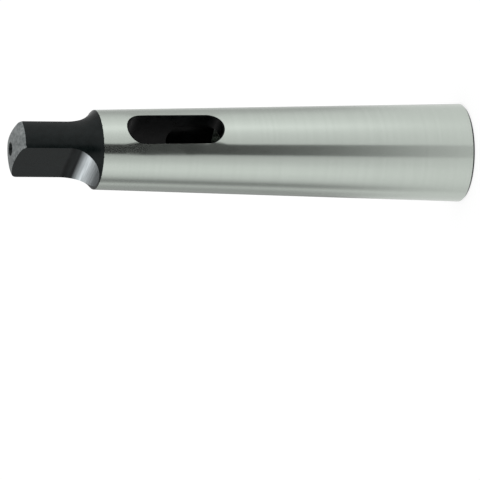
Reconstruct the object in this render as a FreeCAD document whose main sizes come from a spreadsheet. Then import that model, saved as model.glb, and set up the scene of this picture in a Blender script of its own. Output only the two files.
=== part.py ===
import FreeCAD, Part
import math
import os
import Sketcher

# A reducing sleeve with Morse tapers, turned from one bar, milled, hardened and ground.
# The sleeve stands on its mouth: the axis is Z, the mouth face lies in the plane Z = 0,
# and the tang points up. The drift slot runs through along Y, parallel to the tang's flats.

NODE_NAME = "taper_sleeve"

# Driving sizes in millimetres, apart from the tapers (change of diameter per length)
# and the angles (degrees): alias, value, meaning.
DRIVING_SIZES = [
    ("overall_length", 87.5, "mouth face to tip of tang"),
    ("gauge_diameter", 17.78, "outside diameter at the gauge plane"),
    ("gauge_height", 12.5, "gauge plane above the mouth face"),
    ("shank_taper", 0.04995, "outside taper on diameter"),
    ("mouth_chamfer", 0.4, "outside edge of the mouth"),
    ("tang_length", 16.0, "tip of tang to the top edge of the ground taper"),
    ("tang_diameter", 11.5, "turned diameter of the tang"),
    ("tang_thickness", 5.9, "across the two flats"),
    ("flat_length", 10.05, "straight length of the flats from the tip"),
    ("runout_radius", 6.0, "radius of the cutter that mills the flats"),
    ("shoulder_angle", 45.0, "cone of the shoulder, measured from the axis"),
    ("shoulder_rounding", 0.25, "edge between the shoulder and the ground taper"),
    ("root_fillet_ratio", 2.4, "corner between tang and shoulder, over the step between them"),
    ("dome_radius", 16.0, "sphere of the tang's end"),
    ("dome_rounding", 1.05, "edge of the domed end"),
    ("centre_diameter", 2.6, "countersink of the centre hole at the tip"),
    ("centre_angle", 60.0, "included angle of that countersink"),
    ("centre_pilot_diameter", 1.0, "pilot drill of the centre hole"),
    ("centre_depth", 2.8, "tip to the bottom of the pilot drill"),
    ("socket_diameter", 12.065, "inside diameter at the mouth face"),
    ("socket_taper", 0.04988, "inside taper on diameter"),
    ("socket_chamfer", 0.5, "inside edge of the mouth"),
    ("relief_diameter", 9.7, "parallel bore that clears the tool's tang"),
    ("socket_into_slot", 7.5, "how far the parallel bore reaches past the slot's near end"),
    ("drill_angle", 118.0, "included angle of the drilled bottom"),
    ("slot_width", 5.9, "drift slot across its sides"),
    ("slot_length", 18.25, "drift slot over its round ends"),
    ("slot_from_tip", 30.0, "tip of tang to the middle of the slot"),
    ("slot_edge_break", 0.22, "chamfer round the slot's two mouths"),
]

SHANK_MOUTH_RADIUS = (
    "(sizes.gauge_diameter + sizes.shank_taper * sizes.gauge_height) / 2"
)
SHOULDER_HEIGHT = "(sizes.overall_length - sizes.tang_length)"
SHOULDER_RADIUS = (
    "((sizes.gauge_diameter - sizes.shank_taper"
    f" * ({SHOULDER_HEIGHT} - sizes.gauge_height)) / 2)"
)
TANG_RADIUS = "(sizes.tang_diameter / 2)"
SOCKET_DEPTH = (
    "(sizes.overall_length - sizes.slot_from_tip - sizes.slot_length / 2"
    " + sizes.socket_into_slot)"
)
SHOULDER_STEP = f"({SHOULDER_RADIUS} - {TANG_RADIUS})"
SHOULDER_RISE = f"({SHOULDER_STEP} / tan(sizes.shoulder_angle * 1 deg))"

# How far a cutting profile runs past the surface that it opens.
CUT_OVERRUN = 1.0
# How far an edge may lie from where the sizes put it and still be the one meant.
EDGE_TOLERANCE = 0.01

# How a sketch numbers its own axes, and the points of a line or an arc.
X_AXIS_GEOMETRY, V_AXIS_GEOMETRY = -1, -2
START_POINT, END_POINT, CENTRE_POINT = range(1, 4)


def make_sheet(document):
    """Write the driving sizes into the spreadsheet and return their values by name."""
    sheet = document.addObject("Spreadsheet::Sheet", "sizes")
    for row, (alias, value, meaning) in enumerate(DRIVING_SIZES, start=1):
        sheet.set(f"A{row}", meaning)
        sheet.set(f"B{row}", str(value))
        sheet.setAlias(f"B{row}", alias)
    document.recompute()
    return {alias: float(sheet.get(alias)) for alias, value, meaning in DRIVING_SIZES}


def origin_plane(body, role):
    """Return the body's own origin plane that has this role."""
    for feature in body.Origin.OriginFeatures:
        if feature.Role == role:
            return feature
    raise RuntimeError(f"no origin plane {role}")


def new_profile(body, name):
    """Start a sketch in the body's XZ plane: across is X and up is Z."""
    sketch = body.newObject("Sketcher::SketchObject", name)
    sketch.AttachmentSupport = [(origin_plane(body, "XZ_Plane"), "")]
    sketch.MapMode = "FlatFace"
    return sketch


def set_size(sketch, kind, first, second, name, expression):
    """Bind one dimension between two points of a sketch to an expression."""
    value = float(sketch.evalExpression(expression))
    index = sketch.addConstraint(Sketcher.Constraint(kind, *first, *second, value))
    sketch.renameConstraint(index, name)
    sketch.setExpression(f"Constraints.{name}", expression)


def place_point(sketch, geometry, point, name, across=None, up=None):
    """Fix a point of a sketch by expressions for its X and its Z."""
    origin = (X_AXIS_GEOMETRY, START_POINT)
    if across is None:
        sketch.addConstraint(
            Sketcher.Constraint("PointOnObject", geometry, point, V_AXIS_GEOMETRY)
        )
    else:
        set_size(sketch, "DistanceX", origin, (geometry, point), f"{name}_across", across)
    if up is None:
        sketch.addConstraint(
            Sketcher.Constraint("PointOnObject", geometry, point, X_AXIS_GEOMETRY)
        )
    else:
        set_size(sketch, "DistanceY", origin, (geometry, point), f"{name}_up", up)


def add_outline(sketch, corners):
    """Add a closed outline of straight lines through corners (rough X, rough Z)."""
    points = [FreeCAD.Vector(across, up, 0) for across, up in corners]
    following = points[1:] + points[:1]
    lines = [
        sketch.addGeometry(Part.LineSegment(start, end), False)
        for start, end in zip(points, following)
    ]
    for line, next_line in zip(lines, lines[1:] + lines[:1]):
        sketch.addConstraint(
            Sketcher.Constraint("Coincident", line, END_POINT, next_line, START_POINT)
        )
    return lines


def join(sketch, first, first_point, second, second_point):
    """Make two points of a sketch the same point."""
    sketch.addConstraint(
        Sketcher.Constraint("Coincident", first, first_point, second, second_point)
    )


def circle_edges(shape, radius, height):
    """Name the circular edges round the Z axis with this radius at this height."""
    names = []
    for number, edge in enumerate(shape.Edges, start=1):
        box = edge.BoundBox
        level = abs(box.ZMin - height) < EDGE_TOLERANCE and abs(box.ZMax - height) < EDGE_TOLERANCE
        same_radius = abs(box.XMax - radius) < EDGE_TOLERANCE
        if level and same_radius:
            names.append(f"Edge{number}")
    return names


def add_edge_feature(body, kind, name, edges, size_property, expression):
    """Round or chamfer some edges of the body's tip by an expression of the sizes."""
    base = body.Tip
    feature = body.newObject(kind, name)
    feature.Base = (base, edges)
    feature.setExpression(size_property, expression)
    body.Document.recompute()
    return feature


def turn_blank(body, sizes):
    """Turn the outside: ground taper, shoulder, tang and domed end."""
    profile = new_profile(body, "blank_profile")
    top = sizes["overall_length"]
    tang_radius = sizes["tang_diameter"] / 2
    shoulder = top - sizes["tang_length"]
    mouth_radius = sizes["gauge_diameter"] / 2
    dome = sizes["dome_radius"]
    corner_angle = math.acos(tang_radius / dome)
    corner_height = top - dome + dome * math.sin(corner_angle)
    points = [
        FreeCAD.Vector(0, 0, 0),
        FreeCAD.Vector(mouth_radius, 0, 0),
        FreeCAD.Vector(mouth_radius * shoulder / top, shoulder, 0),
        FreeCAD.Vector(tang_radius, shoulder + tang_radius / 2, 0),
        FreeCAD.Vector(tang_radius, corner_height, 0),
    ]
    lines = [
        profile.addGeometry(Part.LineSegment(start, end), False)
        for start, end in zip(points, points[1:])
    ]
    face, taper, cone, tang = lines
    dome_circle = Part.Circle(FreeCAD.Vector(0, top - dome, 0), FreeCAD.Vector(0, 0, 1), dome)
    arc = profile.addGeometry(Part.ArcOfCircle(dome_circle, corner_angle, math.pi / 2), False)
    axis = profile.addGeometry(
        Part.LineSegment(FreeCAD.Vector(0, top, 0), FreeCAD.Vector(0, 0, 0)), False
    )
    join(profile, face, END_POINT, taper, START_POINT)
    join(profile, taper, END_POINT, cone, START_POINT)
    join(profile, cone, END_POINT, tang, START_POINT)
    join(profile, tang, END_POINT, arc, START_POINT)
    join(profile, arc, END_POINT, axis, START_POINT)
    join(profile, axis, END_POINT, face, START_POINT)
    place_point(profile, face, START_POINT, "centre")
    place_point(profile, taper, START_POINT, "mouth", across=SHANK_MOUTH_RADIUS)
    place_point(
        profile, cone, START_POINT, "shoulder", across=SHOULDER_RADIUS, up=SHOULDER_HEIGHT
    )
    place_point(
        profile, tang, START_POINT, "root",
        across=TANG_RADIUS, up=f"{SHOULDER_HEIGHT} + {SHOULDER_RISE}",
    )
    place_point(profile, arc, END_POINT, "tip", up="sizes.overall_length")
    place_point(
        profile, arc, CENTRE_POINT, "dome_centre",
        up="sizes.overall_length - sizes.dome_radius",
    )
    set_size(
        profile, "DistanceX", (X_AXIS_GEOMETRY, START_POINT), (arc, START_POINT),
        "corner_across", TANG_RADIUS,
    )
    blank = body.newObject("PartDesign::Revolution", "blank")
    blank.Profile = profile
    blank.ReferenceAxis = (profile, ["V_Axis"])
    blank.Angle = 360.0
    body.Document.recompute()


def shoulder_radius(sizes):
    """Radius where the ground taper ends at the shoulder."""
    height = sizes["overall_length"] - sizes["tang_length"] - sizes["gauge_height"]
    return (sizes["gauge_diameter"] - sizes["shank_taper"] * height) / 2


def round_turned_edges(body, sizes):
    """Round the shoulder, the root of the tang and the domed end; chamfer the mouth."""
    top = sizes["overall_length"]
    shoulder = top - sizes["tang_length"]
    tang_radius = sizes["tang_diameter"] / 2
    outer = shoulder_radius(sizes)
    rise = (outer - tang_radius) / math.tan(math.radians(sizes["shoulder_angle"]))
    dome = sizes["dome_radius"]
    corner = top - dome + math.sqrt(dome ** 2 - tang_radius ** 2)
    mouth = (sizes["gauge_diameter"] + sizes["shank_taper"] * sizes["gauge_height"]) / 2
    root_edges = circle_edges(body.Shape, tang_radius, shoulder + rise)
    add_edge_feature(
        body, "PartDesign::Fillet", "root_round", root_edges,
        "Radius", f"sizes.root_fillet_ratio * {SHOULDER_STEP}",
    )
    outer_edges = circle_edges(body.Shape, outer, shoulder)
    add_edge_feature(
        body, "PartDesign::Fillet", "shoulder_round", outer_edges,
        "Radius", "sizes.shoulder_rounding",
    )
    dome_edges = circle_edges(body.Shape, tang_radius, corner)
    add_edge_feature(
        body, "PartDesign::Fillet", "dome_round", dome_edges, "Radius", "sizes.dome_rounding"
    )
    mouth_edges = circle_edges(body.Shape, mouth, 0.0)
    add_edge_feature(
        body, "PartDesign::Chamfer", "mouth_break", mouth_edges, "Size", "sizes.mouth_chamfer"
    )


def bore_socket(body, sizes):
    """Bore the tapered socket, its parallel relief and the drilled bottom."""
    socket_radius = sizes["socket_diameter"] / 2
    relief_radius = sizes["relief_diameter"] / 2
    slot_middle = sizes["overall_length"] - sizes["slot_from_tip"]
    depth = slot_middle - sizes["slot_length"] / 2 + sizes["socket_into_slot"]
    before = body.Shape.Volume
    profile = new_profile(body, "socket_profile")
    corners = [
        (0, 0), (socket_radius, 0), (relief_radius, depth / 2),
        (relief_radius, depth), (0, depth + relief_radius / 2),
    ]
    face, taper, relief, bottom, axis = add_outline(profile, corners)
    place_point(profile, face, START_POINT, "centre")
    place_point(profile, taper, START_POINT, "mouth", across="sizes.socket_diameter / 2")
    place_point(
        profile, relief, START_POINT, "taper_end",
        across="sizes.relief_diameter / 2",
        up="(sizes.socket_diameter - sizes.relief_diameter) / sizes.socket_taper",
    )
    place_point(
        profile, bottom, START_POINT, "bore_end",
        across="sizes.relief_diameter / 2", up=SOCKET_DEPTH,
    )
    place_point(
        profile, axis, START_POINT, "drill_point",
        up=f"{SOCKET_DEPTH} + sizes.relief_diameter / 2 / tan(sizes.drill_angle / 2 * 1 deg)",
    )
    groove = body.newObject("PartDesign::Groove", "socket")
    groove.Profile = profile
    groove.ReferenceAxis = (profile, ["V_Axis"])
    groove.Angle = 360.0
    body.Document.recompute()
    check_cut(body, before, "socket")
    mouth_edges = circle_edges(body.Shape, socket_radius, 0.0)
    add_edge_feature(
        body, "PartDesign::Chamfer", "socket_break", mouth_edges, "Size", "sizes.socket_chamfer"
    )


def drill_centre(body, sizes):
    """Drill the countersunk centre hole into the domed end."""
    before = body.Shape.Volume
    top = sizes["overall_length"]
    pilot = sizes["centre_pilot_diameter"] / 2
    countersink = sizes["centre_diameter"] / 2
    half_angle = "tan(sizes.centre_angle / 2 * 1 deg)"
    wide = f"sizes.centre_diameter / 2 + {CUT_OVERRUN} * {half_angle}"
    profile = new_profile(body, "centre_profile")
    corners = [
        (0, top + CUT_OVERRUN), (0, top - sizes["centre_depth"]),
        (pilot, top - sizes["centre_depth"]), (pilot, top - countersink),
        (countersink, top + CUT_OVERRUN),
    ]
    axis, bottom, wall, cone, mouth = add_outline(profile, corners)
    place_point(
        profile, axis, START_POINT, "above_tip", up=f"sizes.overall_length + {CUT_OVERRUN}"
    )
    place_point(
        profile, bottom, START_POINT, "floor", up="sizes.overall_length - sizes.centre_depth"
    )
    place_point(
        profile, wall, START_POINT, "pilot_end",
        across="sizes.centre_pilot_diameter / 2",
        up="sizes.overall_length - sizes.centre_depth",
    )
    place_point(
        profile, cone, START_POINT, "cone_end",
        across="sizes.centre_pilot_diameter / 2",
        up="sizes.overall_length"
        f" - (sizes.centre_diameter - sizes.centre_pilot_diameter) / 2 / {half_angle}",
    )
    place_point(
        profile, mouth, START_POINT, "cone_mouth",
        across=wide, up=f"sizes.overall_length + {CUT_OVERRUN}",
    )
    groove = body.newObject("PartDesign::Groove", "centre_hole")
    groove.Profile = profile
    groove.ReferenceAxis = (profile, ["V_Axis"])
    groove.Angle = 360.0
    body.Document.recompute()
    check_cut(body, before, "centre hole")


def cut_through(body, profile, name):
    """Cut a profile of the XZ plane right through the body, both ways along Y."""
    pocket = body.newObject("PartDesign::Pocket", name)
    pocket.Profile = profile
    pocket.Type = "ThroughAll"
    pocket.SideType = "Symmetric"
    body.Document.recompute()
    return pocket


def mill_flats(body, sizes):
    """Mill the two flats of the tang, which run out in the cutter's radius."""
    before = body.Shape.Volume
    top = sizes["overall_length"]
    half = sizes["tang_thickness"] / 2
    cutter = sizes["runout_radius"]
    flat_end = top - sizes["flat_length"]
    profile = new_profile(body, "flat_profile")
    corners = [
        FreeCAD.Vector(half + cutter, flat_end - cutter, 0),
        FreeCAD.Vector(half + cutter, top + CUT_OVERRUN, 0),
        FreeCAD.Vector(half, top + CUT_OVERRUN, 0),
        FreeCAD.Vector(half, flat_end, 0),
    ]
    outside, above, flat = [
        profile.addGeometry(Part.LineSegment(start, end), False)
        for start, end in zip(corners, corners[1:])
    ]
    circle = Part.Circle(
        FreeCAD.Vector(half + cutter, flat_end, 0), FreeCAD.Vector(0, 0, 1), cutter
    )
    runout = profile.addGeometry(Part.ArcOfCircle(circle, math.pi, math.pi * 3 / 2), False)
    join(profile, outside, END_POINT, above, START_POINT)
    join(profile, above, END_POINT, flat, START_POINT)
    join(profile, flat, END_POINT, runout, START_POINT)
    join(profile, runout, END_POINT, outside, START_POINT)
    far = "sizes.tang_thickness / 2 + sizes.runout_radius"
    end = "sizes.overall_length - sizes.flat_length"
    over = f"sizes.overall_length + {CUT_OVERRUN}"
    place_point(profile, above, START_POINT, "outer_top", across=far, up=over)
    place_point(profile, flat, START_POINT, "flat_top", across="sizes.tang_thickness / 2", up=over)
    place_point(profile, flat, END_POINT, "flat_end", across="sizes.tang_thickness / 2", up=end)
    place_point(profile, runout, CENTRE_POINT, "cutter", across=far, up=end)
    set_size(
        profile, "DistanceX", (X_AXIS_GEOMETRY, START_POINT), (outside, START_POINT),
        "outer_bottom_across", far,
    )
    pocket = cut_through(body, profile, "tang_flat")
    mirrored = body.newObject("PartDesign::Mirrored", "tang_flats")
    mirrored.Originals = [pocket]
    mirrored.MirrorPlane = (origin_plane(body, "YZ_Plane"), [""])
    body.Tip = mirrored
    body.Document.recompute()
    check_cut(body, before, "tang flats")


def mill_slot(body, sizes):
    """Mill the drift slot with round ends right through the sleeve."""
    before = body.Shape.Volume
    half = sizes["slot_width"] / 2
    middle = sizes["overall_length"] - sizes["slot_from_tip"]
    reach = (sizes["slot_length"] - sizes["slot_width"]) / 2
    normal = FreeCAD.Vector(0, 0, 1)
    profile = new_profile(body, "slot_profile")
    top_circle = Part.Circle(FreeCAD.Vector(0, middle + reach, 0), normal, half)
    bottom_circle = Part.Circle(FreeCAD.Vector(0, middle - reach, 0), normal, half)
    top = profile.addGeometry(Part.ArcOfCircle(top_circle, 0, math.pi), False)
    left = profile.addGeometry(
        Part.LineSegment(
            FreeCAD.Vector(-half, middle + reach, 0), FreeCAD.Vector(-half, middle - reach, 0)
        ),
        False,
    )
    bottom = profile.addGeometry(Part.ArcOfCircle(bottom_circle, math.pi, 2 * math.pi), False)
    right = profile.addGeometry(
        Part.LineSegment(
            FreeCAD.Vector(half, middle - reach, 0), FreeCAD.Vector(half, middle + reach, 0)
        ),
        False,
    )
    for first, second in ((top, left), (left, bottom), (bottom, right), (right, top)):
        profile.addConstraint(
            Sketcher.Constraint("Tangent", first, END_POINT, second, START_POINT)
        )
    profile.addConstraint(Sketcher.Constraint("Vertical", left))
    spacing = "(sizes.slot_length - sizes.slot_width) / 2"
    centre = "sizes.overall_length - sizes.slot_from_tip"
    place_point(profile, top, CENTRE_POINT, "upper_centre", up=f"{centre} + {spacing}")
    place_point(profile, bottom, CENTRE_POINT, "lower_centre", up=f"{centre} - {spacing}")
    set_size(
        profile, "DistanceX", (X_AXIS_GEOMETRY, START_POINT), (right, START_POINT),
        "side_across", "sizes.slot_width / 2",
    )
    cut_through(body, profile, "drift_slot")
    check_cut(body, before, "drift slot")
    add_edge_feature(
        body, "PartDesign::Chamfer", "slot_break", slot_mouth_edges(body.Shape, sizes),
        "Size", "sizes.slot_edge_break",
    )


def slot_mouth_edges(shape, sizes):
    """Name the edges where the drift slot opens on the ground taper."""
    middle = sizes["overall_length"] - sizes["slot_from_tip"]
    half_length = sizes["slot_length"] / 2 + EDGE_TOLERANCE
    half_width = sizes["slot_width"] / 2 + EDGE_TOLERANCE
    names = []
    for number, edge in enumerate(shape.Edges, start=1):
        box = edge.BoundBox
        inside_length = box.ZMin > middle - half_length and box.ZMax < middle + half_length
        inside_width = box.XMax < half_width and box.XMin > -half_width
        outermost = max(abs(box.YMin), abs(box.YMax)) > sizes["socket_diameter"] / 2
        if inside_length and inside_width and outermost:
            names.append(f"Edge{number}")
    return names


def check_cut(body, before, name):
    """Stop if a cut took nothing away."""
    if not body.Shape.Volume < before - EDGE_TOLERANCE:
        raise RuntimeError(f"the {name} cut nothing")


def check_document(document, body):
    """Stop if any object failed or the body is not one valid solid."""
    for item in document.Objects:
        if "Invalid" in item.State or "Error" in item.State:
            raise RuntimeError(f"{item.Name} failed: {item.State}")
    shape = body.Shape
    if shape.isNull() or not shape.isValid() or len(shape.Solids) != 1:
        raise RuntimeError(f"{body.Label} is not one valid solid")


def main():
    document = FreeCAD.newDocument("sleeve")
    sizes = make_sheet(document)
    body = document.addObject("PartDesign::Body", "body")
    body.Label = NODE_NAME
    turn_blank(body, sizes)
    round_turned_edges(body, sizes)
    bore_socket(body, sizes)
    drill_centre(body, sizes)
    mill_flats(body, sizes)
    mill_slot(body, sizes)
    document.recompute()
    check_document(document, body)
    os.makedirs("parts", exist_ok=True)
    body.Shape.exportStep(f"parts/{body.Label}.step")
    print(body.Label, "volume", round(body.Shape.Volume, 1), "box", body.Shape.BoundBox)


main()
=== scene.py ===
"""A steel taper sleeve that stands on its mouth, in a ring of pale studio panels."""

import math

import bpy
from mathutils import Matrix, Vector


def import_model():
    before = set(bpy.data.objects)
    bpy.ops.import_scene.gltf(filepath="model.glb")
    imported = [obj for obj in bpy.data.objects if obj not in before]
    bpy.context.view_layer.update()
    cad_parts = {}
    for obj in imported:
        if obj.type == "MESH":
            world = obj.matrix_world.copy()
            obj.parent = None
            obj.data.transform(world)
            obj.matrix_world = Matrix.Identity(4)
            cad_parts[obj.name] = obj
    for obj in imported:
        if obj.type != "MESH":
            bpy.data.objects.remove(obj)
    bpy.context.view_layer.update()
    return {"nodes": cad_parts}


# The sleeve's surfaces in metres, as in its CAD source, to tell its faces apart.
# A taper is the change of diameter per length.
GAUGE_RADIUS = 0.00889
GAUGE_HEIGHT = 0.0125
SHANK_TAPER = 0.04995
SOCKET_RADIUS = 0.0060325
SOCKET_TAPER = 0.04988
SHOULDER_HEIGHT = 0.0715
FLAT_HALF = 0.00295
FLAT_END = 0.07745
RUNOUT_RADIUS = 0.006
END_LOW = 0.084
CENTRE_HOLE_RADIUS = 0.0013
# The drift slot, with the end of the bore that opens into it.
SLOT_LOW = 0.0474
SLOT_HIGH = 0.069
SLOT_REACH = 0.0051

# How far a corner may lie from a surface, and by how much an edge is kept out of a zone.
SURFACE_TOLERANCE = 0.00003
EDGE_MARGIN = 0.0001
# How squarely a face has to look outwards, upwards or along the flats' width.
FACES_OUT = 0.9
FACES_UP = 0.3
FACES_ALONG = 0.1
SMALLEST_RADIUS = 1e-9

# Colours, and the roughness of each finish as a range.
GROUND_COLOURS = ((0.548, 0.597, 0.548), (0.563, 0.612, 0.563))
GROUND_ROUGHNESS = (0.255, 0.265)
SCALE_COLOURS = ((0.002, 0.0045, 0.0045), (0.006, 0.010, 0.010))
SCALE_ROUGHNESS = (0.24, 0.34)
# The slot's colours are darker than the black scale: painted shade inside the recess.
SLOT_PAINTED_SHADE_COLOURS = ((0.0012, 0.0015, 0.0015), (0.005, 0.006, 0.006))
SLOT_ROUGHNESS = (0.25, 0.45)
END_COLOURS = ((0.12, 0.135, 0.135), (0.34, 0.36, 0.36))
END_ROUGHNESS = (0.45, 0.6)
RUNOUT_STREAK_COLOUR = (0.05, 0.06, 0.06)
RUNOUT_ROUGHNESS = 0.3

# Painted sheen on the run-out: how light its colour is, from just inside the shoulder (0) to
# the end of the flat (1), a painted highlight on top of its real mirroring.
RUNOUT_LOW = 0.0715
RUNOUT_HIGH = 0.0775
RUNOUT_PAINTED_SHEEN_TINT = (0.9, 0.97, 1.0)
RUNOUT_PAINTED_SHEEN_STEPS = (
    (0.0, 0.22), (0.2, 0.35), (0.4, 0.8), (0.52, 0.4), (0.64, 0.02), (0.9, 0.006), (1.0, 0.03),
)

# The camera's horizontal direction from the sleeve, and the picture's upward direction.
# The picture shows the sleeve lying, so the camera is rolled by a quarter turn.
CAMERA_AZIMUTH = math.radians(-33.15)
TOWARD = Vector((math.sin(CAMERA_AZIMUTH), -math.cos(CAMERA_AZIMUTH), 0))
PICTURE_UP = Vector((-TOWARD.y, TOWARD.x, 0))
CAMERA_PLACE = (-0.48706, -1.49326, 0)
CAMERA_TURNS = (-16.56, -0.611, -0.462)
CAMERA_LENS = 626.7
SENSOR_WIDTH = 36

# The ring of panels round the sleeve: brightness by angle from the camera's direction,
# positive towards the picture's top. One strip, where the camera stands, is dark.
TENT_RADIUS = 0.07
TENT_HEIGHT = 0.3
TENT_SIDES = 144
TENT_PANELS = (
    (-180, 0.4), (-164, 0.3), (-150, 0.42), (-134, 0.45), (-122, 0.46), (-108, 0.7),
    (-98, 0.3), (-91, 0.3), (-84, 0.6), (-74, 0.84), (-56, 1.0), (-42, 0.95), (-28, 0.76),
    (-18, 0.66), (-11, 0.45), (-10, 0.02), (15, 0.02), (17, 0.74), (28, 0.8), (44, 0.93),
    (62, 1.2), (76, 1.06), (88, 0.95), (104, 0.84), (118, 0.66), (132, 0.54), (146, 0.66),
    (160, 0.82), (180, 0.4),
)

# A small bright card inside the ring, which the run-out of the near flat mirrors.
CARD_DISTANCE = 0.065
CARD_HEIGHTS = (0.086, 0.125)
CARD_ANGLES = (-142, -126, -110)
CARD_STRENGTH = 1.2

# The floor's glow and shade for the camera, what metal mirrors of it, and what it bounces.
FLOOR_REACH = 6.0
FLOOR_GLOW = 0.82
FLOOR_SHADE = 0.25
FLOOR_MIRRORED = 0.92
FLOOR_BOUNCE = 0.8
WORLD_LIGHT = 0.85


# ---- node helpers


def new_material(name):
    """Make a material and return it with its node tree."""
    material = bpy.data.materials.new(name)
    material.use_nodes = True
    return material, material.node_tree


def noise(tree, scale, detail, roughness=0.5):
    """Return a noise value with this many features per metre along X, Y and Z."""
    coords = tree.nodes.new("ShaderNodeTexCoord")
    mapping = tree.nodes.new("ShaderNodeMapping")
    mapping.inputs["Scale"].default_value = scale
    tree.links.new(coords.outputs["Object"], mapping.inputs["Vector"])
    texture = tree.nodes.new("ShaderNodeTexNoise")
    texture.inputs["Scale"].default_value = 1.0
    texture.inputs["Detail"].default_value = detail
    texture.inputs["Roughness"].default_value = roughness
    tree.links.new(mapping.outputs["Vector"], texture.inputs["Vector"])
    return texture.outputs["Fac"]


def remap(tree, value, source, target):
    """Map a value from one range to another, held at both ends."""
    node = tree.nodes.new("ShaderNodeMapRange")
    node.inputs["From Min"].default_value = source[0]
    node.inputs["From Max"].default_value = source[1]
    node.inputs["To Min"].default_value = target[0]
    node.inputs["To Max"].default_value = target[1]
    tree.links.new(value, node.inputs["Value"])
    return node.outputs["Result"]


def spread(tree, value, target):
    """Map the middle of a noise value's range to a range."""
    return remap(tree, value, (0.3, 0.7), target)


def blend_colours(tree, factor, first, second):
    """Blend two colours, each a tuple or another node's output."""
    node = tree.nodes.new("ShaderNodeMix")
    node.data_type = "RGBA"
    tree.links.new(factor, node.inputs["Factor"])
    colour_inputs = [socket for socket in node.inputs if socket.type == "RGBA"]
    for socket, value in zip(colour_inputs, (first, second)):
        if isinstance(value, tuple):
            socket.default_value = (*value, 1)
        else:
            tree.links.new(value, socket)
    return next(socket for socket in node.outputs if socket.type == "RGBA")


def colour_steps(tree, value, steps, tint=(1, 1, 1)):
    """Turn a value into a grey by steps of (position, brightness), tinted."""
    ramp = tree.nodes.new("ShaderNodeValToRGB")
    elements = ramp.color_ramp.elements
    while len(elements) < len(steps):
        elements.new(0.5)
    for element, (position, brightness) in zip(elements, steps):
        element.position = position
        element.color = (*(brightness * part for part in tint), 1)
    tree.links.new(value, ramp.inputs["Fac"])
    return ramp.outputs["Color"]


def grain_round_axis(tree, shader, amount):
    """Give a surface the fine grain of turning or grinding, round the sleeve's axis."""
    tangent = tree.nodes.new("ShaderNodeTangent")
    tangent.direction_type = "RADIAL"
    tangent.axis = "Z"
    tree.links.new(tangent.outputs["Tangent"], shader.inputs["Tangent"])
    shader.inputs["Anisotropic"].default_value = amount
    shader.inputs["Anisotropic Rotation"].default_value = 0.25


def mottle(tree, shader, value, colours, roughness):
    """Vary a shader's colour and roughness with the same noise value."""
    factor = spread(tree, value, (0, 1))
    tree.links.new(blend_colours(tree, factor, *colours), shader.inputs["Base Color"])
    tree.links.new(spread(tree, value, roughness), shader.inputs["Roughness"])


# ---- finishes


def ground_steel():
    """The bright taper, ground round its circumference."""
    material, tree = new_material("ground_steel")
    shader = tree.nodes["Principled BSDF"]
    shader.inputs["Metallic"].default_value = 1.0
    lines = spread(tree, noise(tree, (40, 40, 1800), 1), (0, 1))
    patches = noise(tree, (300, 300, 300), 2)
    tree.links.new(blend_colours(tree, lines, *GROUND_COLOURS), shader.inputs["Base Color"])
    tree.links.new(spread(tree, patches, GROUND_ROUGHNESS), shader.inputs["Roughness"])
    grain_round_axis(tree, shader, 1.0)
    return material


def black_scale():
    """The black skin left by hardening, on the tang, the shoulder and the mouth."""
    material, tree = new_material("black_scale")
    shader = tree.nodes["Principled BSDF"]
    shader.inputs["Metallic"].default_value = 0.0
    shader.inputs["Specular IOR Level"].default_value = 0.18
    mottle(tree, shader, noise(tree, (900, 900, 900), 4), SCALE_COLOURS, SCALE_ROUGHNESS)
    grain_round_axis(tree, shader, 0.6)
    return material


def slot_black_painted_shade():
    """The dull black inside of the drift slot and of the bore's end, painted darker than the
    black scale as shade in the recess.
    """
    material, tree = new_material("slot_black_painted_shade")
    shader = tree.nodes["Principled BSDF"]
    shader.inputs["Specular IOR Level"].default_value = 0.06
    mottle(tree, shader, noise(tree, (700, 700, 700), 3), SLOT_PAINTED_SHADE_COLOURS, SLOT_ROUGHNESS)
    return material


def runout_painted_sheen():
    """The milled run-out of the flats, black by the flat and painted bright towards the
    shoulder, a painted sheen.
    """
    material, tree = new_material("runout_painted_sheen")
    shader = tree.nodes["Principled BSDF"]
    shader.inputs["Metallic"].default_value = 1.0
    shader.inputs["Roughness"].default_value = RUNOUT_ROUGHNESS
    coords = tree.nodes.new("ShaderNodeTexCoord")
    split = tree.nodes.new("ShaderNodeSeparateXYZ")
    tree.links.new(coords.outputs["Object"], split.inputs["Vector"])
    along = remap(tree, split.outputs["Z"], (RUNOUT_LOW, RUNOUT_HIGH), (0, 1))
    # Painted sheen: the colour lightens by height along the run-out, a painted highlight.
    painted_highlight = colour_steps(tree, along, RUNOUT_PAINTED_SHEEN_STEPS, RUNOUT_PAINTED_SHEEN_TINT)
    streaks = spread(tree, noise(tree, (6000, 150, 150), 2), (0.0, 0.4))
    colour = blend_colours(tree, streaks, painted_highlight, RUNOUT_STREAK_COLOUR)
    tree.links.new(colour, shader.inputs["Base Color"])
    return material


def end_grey():
    """The rough grey face of the domed end."""
    material, tree = new_material("end_grey")
    shader = tree.nodes["Principled BSDF"]
    shader.inputs["Metallic"].default_value = 0.6
    grit = noise(tree, (1600, 1600, 1600), 4, 0.6)
    mottle(tree, shader, grit, END_COLOURS, END_ROUGHNESS)
    bump = tree.nodes.new("ShaderNodeBump")
    bump.inputs["Strength"].default_value = 0.3
    bump.inputs["Distance"].default_value = 0.0001
    tree.links.new(grit, bump.inputs["Height"])
    tree.links.new(bump.outputs["Normal"], shader.inputs["Normal"])
    return material


# ---- the sleeve's faces


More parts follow.
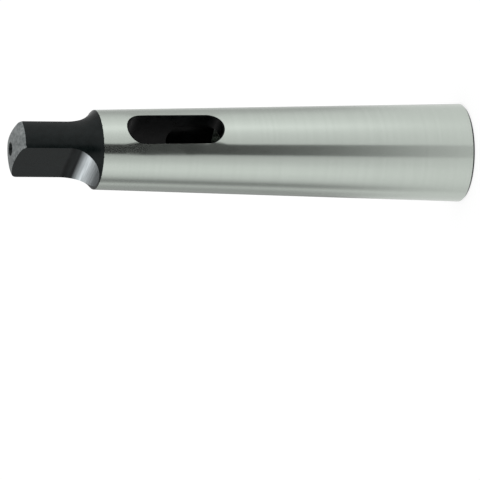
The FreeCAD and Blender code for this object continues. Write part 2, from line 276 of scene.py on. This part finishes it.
def zone_of(mesh, polygon):
    """Name the finish of a face from where it lies and how it looks."""
    points = [mesh.vertices[index].co for index in polygon.vertices]
    radii = [math.hypot(point.x, point.y) for point in points]
    heights = [point.z for point in points]
    centre = polygon.center
    normal = polygon.normal
    centre_radius = max(math.hypot(centre.x, centre.y), SMALLEST_RADIUS)
    outward = (normal.x * centre.x + normal.y * centre.y) / centre_radius

    def lies_on(distances, surface):
        return all(abs(a - b) < SURFACE_TOLERANCE for a, b in zip(distances, surface))

    shank = [GAUGE_RADIUS - SHANK_TAPER / 2 * (height - GAUGE_HEIGHT) for height in heights]
    below_shoulder = max(heights) < SHOULDER_HEIGHT + SURFACE_TOLERANCE
    if outward > FACES_OUT and lies_on(radii, shank) and below_shoulder:
        return "ground"
    socket = [SOCKET_RADIUS - SOCKET_TAPER / 2 * height for height in heights]
    if outward < -FACES_OUT and lies_on(radii, socket):
        return "ground"
    beside_hole = min(radii) > CENTRE_HOLE_RADIUS - EDGE_MARGIN
    if centre.z > END_LOW and normal.z > FACES_UP and beside_hole:
        return "end"
    from_cutter = [
        math.hypot(abs(point.x) - FLAT_HALF - RUNOUT_RADIUS, point.z - FLAT_END)
        for point in points
    ]
    on_runout = lies_on(from_cutter, [RUNOUT_RADIUS] * len(points))
    below_flat = min(heights) < FLAT_END - EDGE_MARGIN
    if on_runout and abs(normal.y) < FACES_ALONG and below_flat:
        return "runout"
    inside = max(radii) < GAUGE_RADIUS and abs(centre.x) < SLOT_REACH
    if SLOT_LOW < centre.z < SLOT_HIGH and inside:
        return "slot"
    return "black"


def dress(node):
    """Give every face of the CAD node its finish. The node keeps its shape."""
    finishes = {
        "ground": ground_steel(),
        "black": black_scale(),
        "runout": runout_painted_sheen(),
        "end": end_grey(),
        "slot": slot_black_painted_shade(),
    }
    mesh = node.data
    mesh.materials.clear()
    for material in finishes.values():
        mesh.materials.append(material)
    order = list(finishes)
    for polygon in mesh.polygons:
        polygon.material_index = order.index(zone_of(mesh, polygon))


# ---- the studio


def add_object(name, data):
    """Link a new object to the scene."""
    item = bpy.data.objects.new(name, data)
    bpy.context.scene.collection.objects.link(item)
    return item


def add_stage(name, points, faces, material):
    """Add a mesh that isn't part of the sleeve."""
    mesh = bpy.data.meshes.new(name)
    mesh.from_pydata(points, [], faces)
    mesh.materials.append(material)
    item = add_object(name, mesh)
    return item


def show_in_mirrors_only(item):
    """Let only the sleeve's mirrored light meet an object."""
    item.visible_camera = False
    item.visible_diffuse = False
    item.visible_shadow = False
    item.visible_transmission = False


def beside_sleeve(angle, distance, height):
    """Return a point at an angle from the camera's direction, towards the picture's top."""
    turned = math.radians(angle)
    across = (TOWARD * math.cos(turned) + PICTURE_UP * math.sin(turned)) * distance
    return (across.x, across.y, height)


def tent():
    """Stand a ring of panels round the sleeve."""
    material, tree = new_material("tent_wall")
    tree.nodes.remove(tree.nodes["Principled BSDF"])
    coords = tree.nodes.new("ShaderNodeTexCoord")
    turn = tree.nodes.new("ShaderNodeMapping")
    turn.inputs["Rotation"].default_value = (0, 0, -math.atan2(TOWARD.y, TOWARD.x))
    tree.links.new(coords.outputs["Object"], turn.inputs["Vector"])
    around = tree.nodes.new("ShaderNodeTexGradient")
    around.gradient_type = "RADIAL"
    tree.links.new(turn.outputs["Vector"], around.inputs["Vector"])
    steps = [(angle / 360 + 0.5, brightness) for angle, brightness in TENT_PANELS]
    glow = tree.nodes.new("ShaderNodeEmission")
    tree.links.new(colour_steps(tree, around.outputs["Fac"], steps), glow.inputs["Color"])
    tree.links.new(glow.outputs["Emission"], tree.nodes["Material Output"].inputs["Surface"])
    points = []
    faces = []
    for side in range(TENT_SIDES):
        angle = 2 * math.pi * side / TENT_SIDES
        x = TENT_RADIUS * math.cos(angle)
        y = TENT_RADIUS * math.sin(angle)
        points += [(x, y, 0), (x, y, TENT_HEIGHT)]
        here = 2 * side
        following = 2 * ((side + 1) % TENT_SIDES)
        faces.append((here, following, following + 1, here + 1))
    show_in_mirrors_only(add_stage("tent", points, faces, material))


def lamp_card():
    """Hang the small bright card inside the ring."""
    material, tree = new_material("lamp_card")
    tree.nodes.remove(tree.nodes["Principled BSDF"])
    glow = tree.nodes.new("ShaderNodeEmission")
    glow.inputs["Strength"].default_value = CARD_STRENGTH
    tree.links.new(glow.outputs["Emission"], tree.nodes["Material Output"].inputs["Surface"])
    points = [
        beside_sleeve(angle, CARD_DISTANCE, height)
        for height in CARD_HEIGHTS
        for angle in CARD_ANGLES
    ]
    faces = [(0, 1, 4, 3), (1, 2, 5, 4)]
    show_in_mirrors_only(add_stage("lamp_card", points, faces, material))


def choose_by_ray(tree, ray, otherwise, chosen):
    """Pick one shader for a kind of ray and another for the rest."""
    light = tree.nodes.new("ShaderNodeLightPath")
    mix = tree.nodes.new("ShaderNodeMixShader")
    tree.links.new(light.outputs[ray], mix.inputs[0])
    tree.links.new(otherwise, mix.inputs[1])
    tree.links.new(chosen, mix.inputs[2])
    return mix.outputs[0]


def floor():
    """Lay the white floor, which keeps a faint shadow of the sleeve."""
    material, tree = new_material("floor_white")
    tree.nodes.remove(tree.nodes["Principled BSDF"])
    bounce = tree.nodes.new("ShaderNodeBsdfDiffuse")
    bounce.inputs["Color"].default_value = (FLOOR_BOUNCE,) * 3 + (1,)
    shade = tree.nodes.new("ShaderNodeBsdfDiffuse")
    shade.inputs["Color"].default_value = (FLOOR_SHADE,) * 3 + (1,)
    glow = tree.nodes.new("ShaderNodeEmission")
    glow.inputs["Strength"].default_value = FLOOR_GLOW
    seen = tree.nodes.new("ShaderNodeAddShader")
    tree.links.new(shade.outputs[0], seen.inputs[0])
    tree.links.new(glow.outputs[0], seen.inputs[1])
    mirrored = tree.nodes.new("ShaderNodeEmission")
    mirrored.inputs["Strength"].default_value = FLOOR_MIRRORED
    unseen = choose_by_ray(tree, "Is Glossy Ray", bounce.outputs[0], mirrored.outputs[0])
    surface = choose_by_ray(tree, "Is Camera Ray", unseen, seen.outputs[0])
    tree.links.new(surface, tree.nodes["Material Output"].inputs["Surface"])
    corners = [
        (-FLOOR_REACH, -FLOOR_REACH, 0),
        (FLOOR_REACH, -FLOOR_REACH, 0),
        (FLOOR_REACH, FLOOR_REACH, 0),
        (-FLOOR_REACH, FLOOR_REACH, 0),
    ]
    add_stage("floor", corners, [(0, 1, 2, 3)], material)


def world():
    """Light everything evenly from all round, on a white background."""
    studio = bpy.data.worlds.new("studio")
    bpy.context.scene.world = studio
    studio.use_nodes = True
    tree = studio.node_tree
    light = tree.nodes.new("ShaderNodeLightPath")
    strength = remap(tree, light.outputs["Is Camera Ray"], (0, 1), (WORLD_LIGHT, 1.0))
    background = tree.nodes["Background"]
    background.inputs["Color"].default_value = (1, 1, 1, 1)
    tree.links.new(strength, background.inputs["Strength"])


def upright(direction):
    """Turn a direction of the lying sleeve (to its mouth, away from the camera, up) upright."""
    along, away, up = direction
    return Vector((0, 0, -1)) * along - TOWARD * away + PICTURE_UP * up


def camera():
    """Look at the sleeve as the picture does."""
    data = bpy.data.cameras.new("camera")
    data.sensor_width = SENSOR_WIDTH
    data.lens = CAMERA_LENS
    data.clip_start = 0.1
    data.clip_end = 10
    item = add_object("camera", data)
    yaw, pitch, roll = (math.radians(turn) for turn in CAMERA_TURNS)
    turned = (
        Matrix.Rotation(yaw, 3, "Z")
        @ Matrix.Rotation(pitch, 3, "X")
        @ Matrix.Rotation(roll, 3, "Y")
    )
    right, forward, up = turned.col
    placed = Matrix((upright(right), upright(up), -upright(forward))).transposed().to_4x4()
    placed.translation = upright(CAMERA_PLACE)
    item.matrix_world = placed
    bpy.context.scene.camera = item


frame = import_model()
dress(frame["nodes"]["taper_sleeve"])
tent()
lamp_card()
floor()
world()
camera()
bpy.context.scene.view_settings.view_transform = "Standard"
